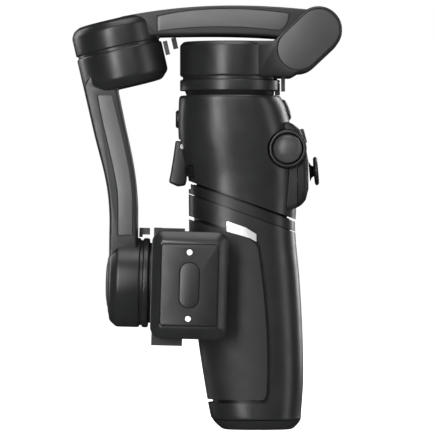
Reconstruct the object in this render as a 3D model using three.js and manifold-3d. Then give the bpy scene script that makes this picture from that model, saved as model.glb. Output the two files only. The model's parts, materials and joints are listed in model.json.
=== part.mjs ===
// Folding phone gimbal, folded flat for carrying.
// Millimetres. +Z is up along the pan axis, the origin is on that axis at the base face.
// +X points to the control console and the fold hinge, and the phone mount faces -Y.
import * as THREE from 'three';
import { mergeVertices } from 'three/addons/utils/BufferGeometryUtils.js';
import Module from 'manifold-3d';

const wasm = await Module();
wasm.setup();

// ---- driving dimensions ----
const GAP = 0.35; // clearance between pieces that touch
const FINE = 28; // sides of a large round part
const COARSE = 16; // sides of a small round part
const OVAL_SIDES = 28; // sides of a level section of the handle
const OVAL_POWER = 0.84; // below 1 squares the oval section slightly
const RIGHT_ANGLE = Math.PI / 2;

const BASE_TOP = 4.1; // seam between the base cap and the grip
const SKIN = 1.9; // thickness of the outer covers on the grip core
const CORE_WALL = 2.3;
const GRIP_BOTTOM = 12.9; // lower edge of the rubber sleeve
const SLEEVE_GROOVE = 1.4; // open groove round the rubber sleeve
const SOCKET_X = 11.6; // centre of the tripod socket
const SOCKET_RADIUS = 3.2;

const SEAM_SLOPE = -0.361; // the upper housing meets the grip on a sloping plane
const SEAM_AT_AXIS = 99.8;
const COLLAR_HEIGHT = 5;
const HOUSING_TOP = 143;
const HOUSING_WALL = 2.4;

const PAN_RADIUS = 21.5;
const PAN_RING_BOTTOM = 145.2;
const PAN_RING_TOP = 149.9;
const PAN_HEAD_BOTTOM = 151.2;
const PAN_HEAD_TOP = 166.2;

const HINGE = new THREE.Vector2(37.7, 170.8); // fold hinge axis in x and z
const HINGE_LOWER = new THREE.Vector2(29.1, 162.7); // lower end of the hinge knuckle
const KNUCKLE_RADIUS = 10.1;
const COVER_RADIUS = 8.9;
const TONGUE_RADIUS = 8.5;
const CLEVIS_OUTER = 17.5; // half width of the pan arm in y
const CLEVIS_INNER = 13;
const ARM_HALF_WIDTH = 12;

const ROLL_SEAM = new THREE.Vector3(-47.8, 0, 163.2); // middle of the roll motor's seam
const ROLL_LEAN = THREE.MathUtils.degToRad(-13);
const ROLL_RADIUS = 18.6;
const ROLL_UPPER = 12.6; // length of the motor cap above the seam
const ROLL_LOWER = 16.7; // length of the motor housing below the seam
const SEAM_HALF = 0.45;

const TILT_CENTRE = new THREE.Vector3(-38.1, 0, 62.8); // middle of the tilt motor's seam
const TILT_LEAN = THREE.MathUtils.degToRad(1.5);
const TILT_RADIUS = 19.2;
const TILT_LENGTH = 13.8; // housing length to the left of the seam

const MOUNT_CENTRE = new THREE.Vector2(20.8, -0.1); // x and z from the tilt centre
const MOUNT_WIDTH = 32.4;
const MOUNT_HEIGHT = 45.6;
const MOUNT_FRONT = -36.5;
const MOUNT_BACK = -23.5;

const JOYSTICK = new THREE.Vector3(31.5, 0, 110.3); // pivot of the joystick
const JOYSTICK_LEAN = THREE.MathUtils.degToRad(-4.7);
const DIAL = new THREE.Vector2(24.5, 120.1); // side dial axis in x and z
const DIAL_FACE = -17; // y of the dial seat's rim
const TRIGGER_PIVOT = new THREE.Vector2(-20, 121.4);
const TRIGGER_HALF = 6;

// Level sections of the grip: height, left x, right x, half width in y.
const GRIP_ROWS = [
  [0, -2.6, 26.4, 13.6], [0.9, -4.4, 27.9, 15.0], [3.9, -7.3, 30.3, 16.8], [7.2, -8.7, 30.6, 17.2],
  [20.9, -11.1, 31.5, 17.5], [38.1, -13.7, 31.3, 17.5], [63.9, -16.7, 29.9, 17.5],
  [85.4, -17.6, 28.0, 17.5], [112, -17.8, 27.4, 17.8],
];
const HOUSING_ROWS = [
  [86, -17.6, 28, 17.6], [98, -17.8, 28.6, 18], [108, -18.8, 29, 18.8], [116, -20.6, 28.8, 19.8],
  [124, -22.0, 27.4, 20.8], [132, -22.3, 25.6, 21.3], [138, -22.1, 24, 21.5],
  [141.8, -21.9, 22.2, 21.5], [143, -21.2, 21.2, 21],
];

// ---- finishes ----
function finish(color, roughness, metalness = 0) {
  return new THREE.MeshStandardMaterial({ color, roughness, metalness });
}
const satinBlack = finish(0x202124, 0.42);
const deepBlack = finish(0x0d0d0e, 0.5);
const rubber = finish(0x1b1b1c, 0.75);
const armGrey = finish(0x6d6d6e, 0.45, 0.3);
const coverGrey = finish(0x464648, 0.4, 0.2);
const silver = finish(0xd2d3d5, 0.25, 0.9);
const steel = finish(0x9a9c9e, 0.35, 1);
const copper = finish(0xb5683a, 0.4, 1);
const boardGreen = finish(0x1d4b33, 0.6);
const contactWhite = finish(0xf2f2ee, 0.3, 0.4);
const brass = finish(0xb99a4f, 0.35, 1);
const cellBlue = finish(0x2d4f7c, 0.5);

// ---- solids ----
function solidOf(geometry) {
  const bare = geometry.clone();
  bare.deleteAttribute('normal');
  bare.deleteAttribute('uv');
  const merged = mergeVertices(bare, 1e-4);
  const index = merged.index.array;
  const faces = [];
  for (let i = 0; i < index.length; i += 3) {
    const [a, b, c] = [index[i], index[i + 1], index[i + 2]];
    if (a !== b && b !== c && c !== a) faces.push(a, b, c);
  }
  return new wasm.Manifold(new wasm.Mesh({
    numProp: 3,
    vertProperties: new Float32Array(merged.attributes.position.array),
    triVerts: new Uint32Array(faces),
  }));
}

function geometryOf(solid) {
  const mesh = solid.getMesh();
  const geometry = new THREE.BufferGeometry();
  geometry.setAttribute('position', new THREE.BufferAttribute(mesh.vertProperties, 3));
  geometry.setIndex(new THREE.BufferAttribute(mesh.triVerts, 1));
  return geometry;
}

function cut(base, ...tools) {
  const result = tools.reduce((solid, tool) => solid.subtract(solidOf(tool)), solidOf(base));
  return geometryOf(result);
}

function join(first, ...others) {
  const result = others.reduce((solid, other) => solid.add(solidOf(other)), solidOf(first));
  return geometryOf(result);
}

function common(first, ...others) {
  const result = others.reduce((solid, other) => solid.intersect(solidOf(other)), solidOf(first));
  return geometryOf(result);
}

function block([x0, x1], [y0, y1], [z0, z1]) {
  const geometry = new THREE.BoxGeometry(x1 - x0, y1 - y0, z1 - z0);
  return geometry.translate((x0 + x1) / 2, (y0 + y1) / 2, (z0 + z1) / 2);
}

// A round bar along x, y or z, from one coordinate to another on that axis.
function bar(axis, radius, from, to, sides = COARSE) {
  const geometry = new THREE.CylinderGeometry(radius, radius, to - from, sides);
  const middle = (from + to) / 2;
  if (axis === 'x') return geometry.rotateZ(-RIGHT_ANGLE).translate(middle, 0, 0);
  if (axis === 'y') return geometry.translate(0, middle, 0);
  return geometry.rotateX(RIGHT_ANGLE).translate(0, 0, middle);
}

function tube(axis, outer, inner, from, to, sides = COARSE) {
  return cut(bar(axis, outer, from, to, sides), bar(axis, inner, from - 1, to + 1, sides));
}

// A solid turned about z; the profile of [radius, height] runs up from the axis and back to it.
function turned(profile, sides = FINE) {
  const points = profile.map(([radius, height]) => new THREE.Vector2(radius, height));
  return new THREE.LatheGeometry(points, sides).rotateX(RIGHT_ANGLE);
}

// An outline in x and z, extruded across y, with its edges broken by an optional bevel.
function slab(shape, y0, y1, bevel = 0, steps = 6) {
  const geometry = new THREE.ExtrudeGeometry(shape, {
    depth: y1 - y0 - 2 * bevel,
    bevelEnabled: bevel > 0,
    bevelThickness: bevel,
    bevelSize: bevel,
    bevelOffset: -bevel,
    bevelSegments: 1,
    curveSegments: steps,
  });
  return geometry.rotateX(RIGHT_ANGLE).translate(0, y1 - bevel, 0);
}

function outline(points) {
  return new THREE.Shape(points.map(([x, z]) => new THREE.Vector2(x, z)));
}

// A level section becomes an oval; CylinderGeometry's rings are moved to the rows' sections.
function ovalLoft(rows, inset = 0) {
  const geometry = new THREE.CylinderGeometry(1, 1, 1, OVAL_SIDES, rows.length - 1);
  const place = geometry.attributes.position;
  const soften = (value) => Math.sign(value) * Math.abs(value) ** OVAL_POWER;
  for (let i = 0; i < place.count; i += 1) {
    const row = rows.length - 1 - Math.round((0.5 - place.getY(i)) * (rows.length - 1));
    const [height, left, right, half] = rows[row];
    const x = (left + right) / 2 + ((right - left) / 2 - inset) * soften(place.getX(i));
    place.setXYZ(i, x, -(half - inset) * soften(place.getZ(i)), height);
  }
  return geometry;
}

function roundedRect(width, height, radius) {
  const shape = new THREE.Shape();
  const [w, h] = [width / 2, height / 2];
  shape.moveTo(-w + radius, -h);
  shape.absarc(w - radius, -h + radius, radius, -RIGHT_ANGLE, 0);
  shape.absarc(w - radius, h - radius, radius, 0, RIGHT_ANGLE);
  shape.absarc(-w + radius, h - radius, radius, RIGHT_ANGLE, 2 * RIGHT_ANGLE);
  shape.absarc(-w + radius, -h + radius, radius, 2 * RIGHT_ANGLE, 3 * RIGHT_ANGLE);
  return shape;
}

function piece(parent, name, geometry, material) {
  const mesh = new THREE.Mesh(geometry, material.clone());
  mesh.name = name;
  parent.add(mesh);
  return mesh;
}

function leaningGroup(position, lean) {
  const group = new THREE.Group();
  group.position.copy(position);
  group.rotation.y = lean;
  group.updateMatrix();
  return group;
}

// ---- grip ----
// Everything below the sloping seam, lowered by a drop measured along z.
function belowSeam(drop) {
  const height = (x) => SEAM_AT_AXIS + SEAM_SLOPE * x - drop;
  return slab(outline([[-40, -5], [50, -5], [50, height(50)], [-40, height(-40)]]), -40, 40);
}

// The rubber sleeve wraps round the left side; its outline is the same on both flanks.
function sleeveOutline(grow) {
  const shape = new THREE.Shape();
  const bottom = GRIP_BOTTOM - grow;
  shape.moveTo(-40, bottom);
  shape.lineTo(13.4 + grow, bottom);
  shape.quadraticCurveTo(15.3 + grow, bottom, 15.5 + grow, bottom + 3);
  shape.quadraticCurveTo(17 + grow, 42, 12 + grow, 76.4);
  shape.quadraticCurveTo(11.6 + grow, 79.6 + grow, 8.2, 81.6 + grow);
  shape.lineTo(-40, 97.4 + grow);
  return shape;
}

// The bright inlay over the sleeve's top edge.
function inlayOutline(grow) {
  const [left, right] = [-1.4 - grow, 11.2 + grow];
  return outline([
    [left, 84.9 - grow], [8.4, 82 - grow], [right, 80.4 - grow],
    [right, 83.7 + grow], [6.7, 86.5 + grow], [left, 89.2 + grow],
  ]);
}

function buildGrip(handle) {
  const cavity = ovalLoft(GRIP_ROWS, SKIN + GAP + CORE_WALL);
  const socketHole = bar('z', 5.4, -5, 30).translate(SOCKET_X, 0, 0);
  const band = (z0, z1) => block([-60, 60], [-40, 40], [z0, z1]);

  const base = common(ovalLoft(GRIP_ROWS), band(-1, BASE_TOP));
  piece(handle, 'base_cap', cut(base, socketHole), satinBlack);
  piece(handle, 'tripod_insert', tube('z', 5, SOCKET_RADIUS, 0.3, 9).translate(SOCKET_X, 0, 0), brass);

  const core = common(ovalLoft(GRIP_ROWS, SKIN + GAP), band(BASE_TOP + GAP, 200), belowSeam(GAP));
  const hollow = common(cavity, band(9.5, 200));
  piece(handle, 'grip_core', cut(core, hollow, socketHole), deepBlack);

  const skin = cut(
    common(ovalLoft(GRIP_ROWS), band(BASE_TOP + GAP, 200), belowSeam(2 * GAP)),
    ovalLoft(GRIP_ROWS, SKIN),
  );
  const sleeve = common(skin, slab(sleeveOutline(0), -40, 40));
  piece(handle, 'grip_sleeve', cut(sleeve, slab(inlayOutline(GAP), -40, 40)), rubber);
  const frame = cut(
    common(skin, belowSeam(COLLAR_HEIGHT + GAP)),
    slab(sleeveOutline(SLEEVE_GROOVE), -40, 40),
    slab(inlayOutline(GAP), -40, 40),
  );
  piece(handle, 'spine_cover', frame, satinBlack);
  piece(handle, 'collar_band', cut(skin, belowSeam(COLLAR_HEIGHT), triggerSlot()), deepBlack);
  const inlay = (y0, y1) => common(skin, slab(inlayOutline(0), y0, y1));
  piece(handle, 'trim_inlay_front', inlay(-40, -3), silver);
  piece(handle, 'trim_inlay_rear', inlay(3, 40), silver);

  piece(handle, 'battery_cell', bar('z', 9.1, 13.5, 78.5).translate(5.4, 0, 0), cellBlue);
  piece(handle, 'main_board', block([17, 18.6], [-10, 10], [16, 76]), boardGreen);
}

// The opening that the trigger swings in.
function triggerSlot() {
  return block([-40, -15.6], [-TRIGGER_HALF - 0.5, TRIGGER_HALF + 0.5], [103, 124.4]);
}

// ---- upper housing with its controls ----
function buildHousing(handle) {
  const seam = belowSeam(-GAP);
  const outer = ovalLoft(HOUSING_ROWS);
  const inner = common(ovalLoft(HOUSING_ROWS, HOUSING_WALL), block([-60, 60], [-40, 40], [0, 140]));
  const well = common(ovalLoft(HOUSING_ROWS, 0.5), block([-30, -13.5], [-9.5, 9.5], [101.5, 126]));
  const dialBore = bar('y', 8.2 + GAP, -40, -8.2).translate(DIAL.x, 0, DIAL.y);
  const pinHole = bar('y', 1.3, -8.6, 8.6).translate(TRIGGER_PIVOT.x, 0, TRIGGER_PIVOT.y);
  const buttonHole = bar('x', 4.2, -40, -10).translate(0, 0, 133);
  const powerHole = bar('x', 5.2, -12, 12).applyMatrix4(powerFrame());
  const shaftHole = bar('z', 6, 120, 160);
  const socket = chargeSocketFrame();
  const socketHole = block([-8, 8], [-2.7, 2.7], [-2.6, 2.6]).applyMatrix4(socket);

  const shell = join(cut(outer, inner), well);
  const housing = cut(
    shell, seam, dialBore, triggerSlot(), pinHole, buttonHole, powerHole, shaftHole, socketHole,
  );
  piece(handle, 'upper_housing', housing, satinBlack);

  const port = block([-1.5, 2.6], [-2.3, 2.3], [-2.2, 2.2]);
  const mouth = block([1, 4], [-1.6, 1.6], [-1.5, 1.5]);
  const portMesh = piece(handle, 'charge_socket', cut(port, mouth), deepBlack);
  portMesh.applyMatrix4(socket);

  const pin = bar('y', 1, -8.2, 8.2).translate(TRIGGER_PIVOT.x, 0, TRIGGER_PIVOT.y);
  piece(handle, 'trigger_pin', pin, steel);
  piece(handle, 'control_board', block([8, 9.6], [-13, 13], [104, 128]), boardGreen);
  buildConsole(handle, dialBore);
  buildButtons(handle);
}

function powerFrame() {
  return leaningGroup(new THREE.Vector3(23.4, 0, 136.9), THREE.MathUtils.degToRad(-20)).matrix;
}

// The charging socket faces forward and to the side, low on the upper housing's left flank.
function chargeSocketFrame() {
  const frame = new THREE.Group();
  frame.position.set(-15.9, -9.2, 110.5);
  frame.rotation.z = THREE.MathUtils.degToRad(-145);
  frame.updateMatrix();
  return frame.matrix;
}

// A raised console on the right flank, split into body, dark face plate and faceted crown.
function buildConsole(handle, dialBore) {
  const side = outline([
    [16, 95], [25, 93.6], [30.4, 95.6], [32.4, 98.4], [33.6, 103.2], [33.5, 115.4],
    [31.7, 124], [30, 128.4], [25.6, 131.8], [16, 131.8],
  ]);
  const console = cut(slab(side, -12.5, 12.5, 2.2), ovalLoft(HOUSING_ROWS, -GAP), dialBore);
  const crownBottom = 121.2;
  const crown = block([10, 50], [-40, 40], [crownBottom, 150]);
  const lower = block([10, 50], [-40, 40], [80, crownBottom - GAP]);
  const face = outline([[29.4, 80], [50, 80], [50, 140], [28.4, 140]]);
  const behindFace = outline([[0, 80], [29.4 - GAP, 80], [28.4 - GAP, 140], [0, 140]]);
  const stickHole = bar('x', 5.6, -30, 10).translate(JOYSTICK.x, 0, JOYSTICK.z);
  const shutterHole = block([-6, 6], [-5.3, 5.3], [-3.6, 3.6]).applyMatrix4(shutterFrame());

  piece(handle, 'console_crown', cut(common(console, crown), shutterHole), deepBlack);
  const body = cut(common(console, lower, slab(behindFace, -40, 40)), stickHole);
  piece(handle, 'console_body', body, satinBlack);
  piece(handle, 'console_face', cut(common(console, lower, slab(face, -40, 40)), stickHole), deepBlack);

  const yoke = new THREE.SphereGeometry(2.2, 10, 6);
  yoke.translate(JOYSTICK.x, 0, JOYSTICK.z);
  piece(handle, 'joystick_yoke', yoke, steel);
  const cap = turned([
    [0, 2.6], [4.4, 2.6], [2.4, 3.9], [2.2, 4.4], [5.6, 4.6], [6.15, 5.2], [6.15, 5.7], [5.4, 6.4],
    [3, 6.1], [0, 6],
  ], 18).rotateY(RIGHT_ANGLE);
  const stick = piece(handle, 'joystick_cap', cap, deepBlack);
  stick.position.copy(JOYSTICK);
  stick.rotation.y = JOYSTICK_LEAN;

  const seat = turned([
    [0, 0], [8.2, 0], [8.2, 8.2], [7.6, 8.7], [6.8, 8.7], [6.5, 8], [6.5, 6.9], [0, 6.9],
  ], 20).rotateX(RIGHT_ANGLE);
  piece(handle, 'dial_seat', seat, deepBlack).position.set(DIAL.x, DIAL_FACE + 8.7 - 0.3, DIAL.y);
  const dial = turned([
    [0, 0], [6, 0], [6, 2.6], [5.2, 3.9], [3.4, 4.9], [1.6, 5.3], [0, 5.4],
  ], 20).rotateX(RIGHT_ANGLE);
  piece(handle, 'side_dial', dial, coverGrey).position.set(DIAL.x, DIAL_FACE + 1.2, DIAL.y);
}

function shutterFrame() {
  return leaningGroup(new THREE.Vector3(31.1, 0, 125.6), THREE.MathUtils.degToRad(-15)).matrix;
}

function buildButtons(handle) {
  const lever = new THREE.Shape();
  lever.moveTo(-18.6, 123.2);
  lever.lineTo(-23.4, 123.8);
  lever.quadraticCurveTo(-24.6, 114, -26.3, 105.8);
  lever.lineTo(-22.6, 104.1);
  lever.lineTo(-19.2, 104.5);
  lever.lineTo(-18.6, 107);
  const pinClearance = bar('y', 1.4, -20, 20).translate(TRIGGER_PIVOT.x, 0, TRIGGER_PIVOT.y);
  piece(handle, 'trigger', cut(slab(lever, -TRIGGER_HALF, TRIGGER_HALF, 0.8, 8), pinClearance), deepBlack);

  const button = turned([[0, 0], [3.85, 0], [3.85, 4.6], [3.2, 5.3], [0, 5.5]], 20).rotateY(-RIGHT_ANGLE);
  piece(handle, 'front_button', button, deepBlack).position.set(-18, 0, 133);

  const power = turned([[0, -5], [4.8, -5], [4.8, 0.7], [4, 1.7], [0, 2.2]], 20).rotateY(RIGHT_ANGLE);
  piece(handle, 'power_button', power, deepBlack).applyMatrix4(powerFrame());

  const shutter = block([-2.6, 1.3], [-4.9, 4.9], [-3.2, 3.2]);
  piece(handle, 'shutter_button', shutter, coverGrey).applyMatrix4(shutterFrame());
}

// ---- pan motor and pan arm ----
function buildPanMotor(handle, head) {
  const ring = turned([
    [0, HOUSING_TOP + GAP], [18.6, HOUSING_TOP + GAP], [19.4, PAN_RING_BOTTOM], [PAN_RADIUS, PAN_RING_BOTTOM],
    [PAN_RADIUS, PAN_RING_TOP - 0.6], [PAN_RADIUS - 0.6, PAN_RING_TOP], [0, PAN_RING_TOP],
  ]);
  const catchSlot = block([18.9, 30], [-4.4, 4.4], [142, 149]);
  const cup = bar('z', 17.2, 147, 160, FINE);
  const bearingSeat = bar('z', 8.3, 140, 160);
  piece(handle, 'pan_base_ring', cut(ring, cup, bearingSeat, catchSlot), satinBlack);
  piece(handle, 'pan_lock_catch', block([19.3, 21.4], [-4, 4], [143.4, 148.4]), deepBlack);
  piece(handle, 'pan_bearing', tube('z', 7.9, 3.5, 143.6, 147), steel);
  piece(handle, 'pan_stator', tube('z', 12, 3.9, 147.4, 158.6), copper);

  piece(head, 'pan_shaft', bar('z', 3.1, 143.9, 160.6), steel);
  piece(head, 'pan_rotor', tube('z', 16.2, 12.8, 151.9, 160.6), steel);
  piece(head, 'pan_lock_tab', cut(
    block([22, 23.6], [-3.6, 3.6], [145, 151.8]),
    block([22.8, 25], [-2.4, 2.4], [146, 148]),
  ), coverGrey);
}

function knuckleOutline(radius) {
  const along = HINGE.clone().sub(HINGE_LOWER).angle();
  const shape = new THREE.Shape();
  shape.absarc(HINGE.x, HINGE.y, radius, along - RIGHT_ANGLE, along + RIGHT_ANGLE);
  shape.absarc(HINGE_LOWER.x, HINGE_LOWER.y, radius, along + RIGHT_ANGLE, along + 3 * RIGHT_ANGLE);
  return shape;
}

function buildPanArm(head) {
  const disc = turned([
    [0, PAN_HEAD_BOTTOM], [PAN_RADIUS - 0.8, PAN_HEAD_BOTTOM], [PAN_RADIUS, PAN_HEAD_BOTTOM + 0.8],
    [PAN_RADIUS, PAN_HEAD_TOP - 1.6], [PAN_RADIUS - 1.6, PAN_HEAD_TOP], [0, PAN_HEAD_TOP],
  ]);
  const bridge = outline([
    [6, PAN_HEAD_BOTTOM], [26, 150.8], [33, 155], [33, 172], [24.5, 171.8], [18.8, PAN_HEAD_TOP],
    [6, PAN_HEAD_TOP],
  ]);
  const knuckle = slab(knuckleOutline(KNUCKLE_RADIUS), -CLEVIS_OUTER, CLEVIS_OUTER, 0.9, 7);
  const armPath = outline([
    [12, PAN_HEAD_TOP - 0.2], [20, PAN_HEAD_TOP - 0.2], [31, 163.2], [HINGE.x, HINGE.y - TONGUE_RADIUS - 1],
    [60, HINGE.y - TONGUE_RADIUS - 1], [60, 190], [12, 190],
  ]);
  const coverPocket = slab(knuckleOutline(COVER_RADIUS + GAP), -1, 1, 0, 7);
  const pinHole = bar('y', 2.9, -15.6, 15.6).translate(HINGE.x, 0, HINGE.y);
  const arm = cut(
    join(disc, slab(bridge, -CLEVIS_OUTER, CLEVIS_OUTER, 0.9), knuckle),
    slab(armPath, -CLEVIS_INNER, CLEVIS_INNER),
    bar('y', TONGUE_RADIUS + 1, -CLEVIS_INNER, CLEVIS_INNER, FINE).translate(HINGE.x, 0, HINGE.y),
    bar('z', 16.6, 140, 161, FINE),
    block([21.6, 24], [-4, 4], [150, 155.4]),
    coverPocket.clone().translate(0, -CLEVIS_OUTER, 0),
    coverPocket.clone().translate(0, CLEVIS_OUTER, 0),
    pinHole,
  );
  piece(head, 'pan_arm', arm, satinBlack);
  const cover = (y0, y1) => slab(knuckleOutline(COVER_RADIUS), y0, y1, 0.3, 7);
  piece(head, 'hinge_cover_front', cover(-CLEVIS_OUTER, -CLEVIS_OUTER + 0.7), coverGrey);
  piece(head, 'hinge_cover_rear', cover(CLEVIS_OUTER - 0.7, CLEVIS_OUTER), coverGrey);
  const pin = bar('y', 2.5, -15.2, 15.2).translate(HINGE.x, 0, HINGE.y);
  piece(head, 'hinge_pin', pin, steel);
}

// ---- fold arm, from the hinge to the roll motor's cap ----
function buildFoldArm(foldArm, rollUpper) {
  const shape = new THREE.Shape();
  shape.moveTo(HINGE.x, HINGE.y - TONGUE_RADIUS);
  shape.absarc(HINGE.x, HINGE.y, TONGUE_RADIUS, -RIGHT_ANGLE, RIGHT_ANGLE);
  shape.bezierCurveTo(8, 182.6, -18, 182.4, -46, 176.8);
  shape.lineTo(-54, 174.2);
  shape.lineTo(-46, 166);
  shape.lineTo(-31, 168.4);
  shape.bezierCurveTo(-18, 168.6, 2, 169.2, 21, 167.6);
  const cap = turned([
    [0, SEAM_HALF], [ROLL_RADIUS, SEAM_HALF], [ROLL_RADIUS, ROLL_UPPER - 3.8],
    [ROLL_RADIUS - 4, ROLL_UPPER], [0, ROLL_UPPER],
  ]).applyMatrix4(rollUpper.matrix);
  const motorRoom = bar('z', 15.2, -1, 9, FINE).applyMatrix4(rollUpper.matrix);
  const pinHole = bar('y', 2.9, -20, 20).translate(HINGE.x, 0, HINGE.y);
  const stripPocket = slab(stripOutline(GAP), -ARM_HALF_WIDTH - 1, -ARM_HALF_WIDTH + 0.9);
  const arm = cut(
    join(slab(shape, -ARM_HALF_WIDTH, ARM_HALF_WIDTH, 1.2, 8), cap),
    motorRoom, pinHole, stripPocket,
  );
  piece(foldArm, 'fold_arm_shell', arm, satinBlack);
  const strip = slab(stripOutline(0), -ARM_HALF_WIDTH - 0.2, -ARM_HALF_WIDTH + 0.6);
  piece(foldArm, 'fold_arm_strip', strip, armGrey);
  piece(rollUpper, 'roll_stator', tube('z', 11.6, 3.6, -9, 8.6), copper);
  piece(rollUpper, 'roll_lock_catch', block([22.9, 25], [-4, 4], [-5.3, -0.7]), deepBlack);
}

function stripOutline(grow) {
  const shape = new THREE.Shape();
  shape.moveTo(25, 177.9 + grow);
  shape.bezierCurveTo(5, 181, -17, 180.4, -31 - grow, 176.6 + grow);
  shape.lineTo(-31 - grow, 170.4 - grow);
  shape.bezierCurveTo(-17, 173, 5, 173, 21 + grow, 170.8 - grow);
  shape.quadraticCurveTo(25 + grow, 172.6, 25 + grow, 177.9);
  return shape;
}

// ---- roll arm, from the roll motor down to the tilt motor ----
function buildRollArm(rollArm, rollLower, tiltHousing) {
  const shape = new THREE.Shape();
  shape.moveTo(-62.9, 147);
  shape.lineTo(-58.6, 128.4);
  shape.bezierCurveTo(-55, 113, -51.7, 106, -51.6, 89);
  shape.lineTo(-52, 64);
  shape.lineTo(-39.6, 64);
  shape.lineTo(-39.6, 95);
  shape.bezierCurveTo(-40, 106, -41.4, 115, -44.6, 128.4);
  shape.lineTo(-48.2, 146);
  shape.lineTo(-44, 151);
  shape.lineTo(-60, 152);
  const motor = turned([
    [0, -ROLL_LOWER], [ROLL_RADIUS - 3.4, -ROLL_LOWER], [ROLL_RADIUS, -ROLL_LOWER + 3.4],
    [ROLL_RADIUS, -SEAM_HALF], [0, -SEAM_HALF],
  ]).applyMatrix4(rollLower.matrix);
  const tiltMotor = turned([
    [0, -TILT_LENGTH - 0.4], [12.4, -TILT_LENGTH - 0.4], [14, -TILT_LENGTH],
    [TILT_RADIUS - 2.6, -TILT_LENGTH + 0.4], [TILT_RADIUS, -TILT_LENGTH + 3.4],
    [TILT_RADIUS, -SEAM_HALF], [0, -SEAM_HALF],
  ]).rotateY(RIGHT_ANGLE).applyMatrix4(tiltHousing.matrix);
  const rollRoom = bar('z', 15.2, -12, 1, FINE).applyMatrix4(rollLower.matrix);
  const tiltRoom = bar('x', 16, -11.4, 2, FINE).applyMatrix4(tiltHousing.matrix);
  const capPocket = bar('x', 12, -30, -TILT_LENGTH + 0.6, FINE).applyMatrix4(tiltHousing.matrix);
  const lockPocket = block([-5.2, 2], [-3.9, 3.9], [TILT_RADIUS + 0.1, TILT_RADIUS + 5])
    .applyMatrix4(tiltHousing.matrix);
  const stripPocket = slab(armStripOutline(GAP), -ARM_HALF_WIDTH - 1, -ARM_HALF_WIDTH + 0.9);
  const arm = cut(
    join(slab(shape, -ARM_HALF_WIDTH, ARM_HALF_WIDTH, 1.2, 6), motor, tiltMotor),
    rollRoom, tiltRoom, capPocket, stripPocket, lockPocket,
  );
  piece(rollArm, 'roll_arm_shell', arm, satinBlack);
  const strip = slab(armStripOutline(0), -ARM_HALF_WIDTH - 0.2, -ARM_HALF_WIDTH + 0.6);
  piece(rollArm, 'roll_arm_strip', strip, armGrey);

  piece(rollLower, 'roll_rotor', tube('z', 14.8, 12.1, -11.6, -0.8), steel);
  piece(rollLower, 'roll_shaft', bar('z', 2.9, -11.6, 8.4), steel);
  piece(rollLower, 'roll_lock_tab', block([19.1, 21], [-3.4, 3.4], [-7, -1.2]), coverGrey);

  const endCap = turned([
    [0, -TILT_LENGTH - 1.6], [6, -TILT_LENGTH - 1.4], [10.6, -TILT_LENGTH - 0.7],
    [11.6, -TILT_LENGTH + 0.2], [0, -TILT_LENGTH + 0.2],
  ]).rotateY(RIGHT_ANGLE);
  piece(tiltHousing, 'tilt_end_cap', endCap, coverGrey);
  piece(tiltHousing, 'tilt_stator', tube('x', 11.8, 3.6, -11, -0.8), copper);
  const tab = join(
    block([-1.4, 3.1], [-3.5, 3.5], [TILT_RADIUS + 1.5, TILT_RADIUS + 4.4]),
    block([-1.4, 0], [-3.5, 3.5], [TILT_RADIUS + 0.4, TILT_RADIUS + 2]),
  );
  piece(tiltHousing, 'tilt_lock_tab', tab, coverGrey);
}

function armStripOutline(grow) {
  const shape = new THREE.Shape();
  shape.moveTo(-56.6 - grow, 143);
  shape.bezierCurveTo(-53.8 - grow, 126, -48.3 - grow, 110, -47.8 - grow, 98);
  shape.lineTo(-47.8 - grow, 83.4 - grow);
  shape.lineTo(-41.8 + grow, 83.4 - grow);
  shape.lineTo(-41.8 + grow, 98);
  shape.bezierCurveTo(-42.2 + grow, 110, -45.6 + grow, 123, -50.4 + grow, 143);
  return shape;
}

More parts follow.
